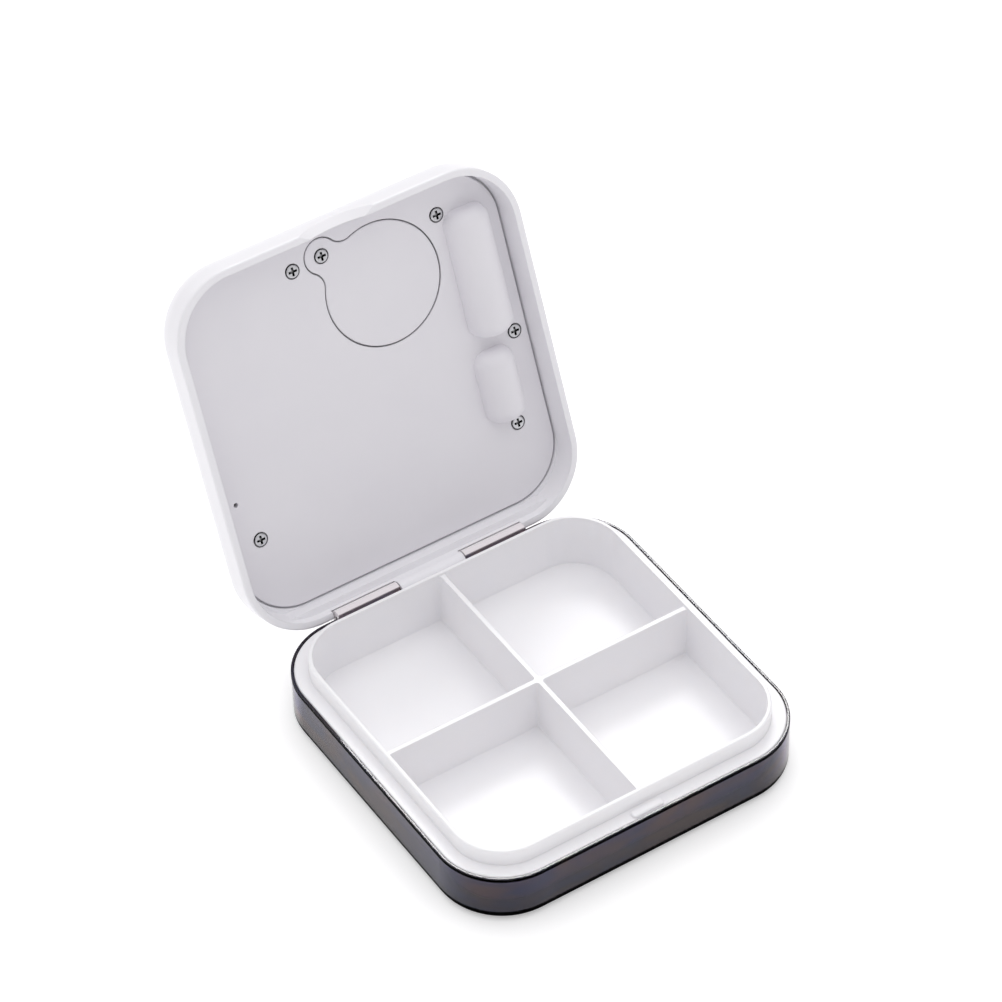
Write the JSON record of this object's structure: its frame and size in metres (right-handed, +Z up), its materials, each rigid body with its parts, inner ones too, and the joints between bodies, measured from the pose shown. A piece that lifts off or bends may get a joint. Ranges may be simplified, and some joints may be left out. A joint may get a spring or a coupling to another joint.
{
  "type": "medication reminder timer",
  "caption": "Square pill box with a reminder timer in its hinged lid: tinted base tub, divided tray, inner cover with battery door, display and push buttons on the outside.",
  "frame": {"origin": "middle of the base's flat underside", "axes": "+X along the hinge to the right, +Y towards the hinge and the open lid, +Z up; the lid stands open at 112 degrees"},
  "size_m": [0.08, 0.119, 0.0857],
  "materials": {
    "smoke_plastic": "smoke-tinted clear, glossy",
    "tray_plastic": "glossy white",
    "lid_plastic": "satin white",
    "cover_plastic": "fine matte white",
    "screw_steel": "plated",
    "pin_steel": "drawn",
    "cell_steel": "nickel-plated steel can",
    "contact_metal": "nickel-plated spring strip",
    "board_laminate": "green solder mask",
    "chip_resin": "black resin blob",
    "capacitor_sleeve": "dark sleeve",
    "lcd_glass": "grey-green liquid crystal glass",
    "frame_plastic": "white",
    "connector_rubber": "layered conductive rubber",
    "window_plastic": "clear pane",
    "button_plastic": "satin grey",
    "switch_plastic": "black",
    "plunger_plastic": "light grey",
    "buzzer_plastic": "black",
    "motor_steel": "plated can",
    "shaft_steel": "ground",
    "weight_metal": "sintered",
    "pad_foam": "soft foam rubber",
    "lead_red": "insulated wire",
    "lead_black": "insulated wire"
  },
  "bodies": {
    "base": {"base_shell": "smoke_plastic", "pill_tray": "tray_plastic", "hinge_pin_left": "pin_steel", "hinge_pin_right": "pin_steel"},
    "lid": {"lid_shell": "lid_plastic", "inner_cover": "cover_plastic", "battery_door": "cover_plastic", "battery_door_screw": "screw_steel", "cover_screws": "screw_steel", "coin_cell": "cell_steel", "battery_contact_positive": "contact_metal", "battery_contact_negative": "contact_metal", "circuit_board": "board_laminate", "control_chip": "chip_resin", "capacitor": "capacitor_sleeve", "lcd_display": "lcd_glass", "lcd_frame": "frame_plastic", "lcd_connector_strips": "connector_rubber", "display_window": "window_plastic", "tact_switches": "switch_plastic", "buzzer": "buzzer_plastic", "vibration_motor": "motor_steel", "motor_pad": "pad_foam", "motor_lead_red": "lead_red", "motor_lead_black": "lead_black"},
    "hour": {"hour_button": "button_plastic", "hour_plunger": "plunger_plastic"},
    "minute": {"minute_button": "button_plastic", "minute_plunger": "plunger_plastic"},
    "alarm": {"alarm_button": "button_plastic", "alarm_plunger": "plunger_plastic"},
    "motor_rotor": {"motor_shaft": "shaft_steel", "eccentric_weight": "weight_metal"}
  },
  "joints": [
    {"name": "lid_hinge", "type": "hinge", "parent": "base", "child": "lid", "pos_m": [0, 0.04, 0.0118], "axis": [1, 0, 0], "range_deg": [0, 112]},
    {"name": "hour_press", "type": "slide", "parent": "lid", "child": "hour", "axis": [0, -0.9272, 0.3746], "range_m": [0, 0.0003], "stiffness_N_per_m": 800},
    {"name": "minute_press", "type": "slide", "parent": "lid", "child": "minute", "axis": [0, -0.9272, 0.3746], "range_m": [0, 0.0003], "stiffness_N_per_m": 800},
    {"name": "alarm_press", "type": "slide", "parent": "lid", "child": "alarm", "axis": [0, -0.9272, 0.3746], "range_m": [0, 0.0003], "stiffness_N_per_m": 800},
    {"name": "motor_spin", "type": "hinge", "parent": "lid", "child": "motor_rotor", "pos_m": [0.02965, 0.06715, 0.06339], "axis": [0, -0.3746, -0.9272], "continuous": true}
  ]
}
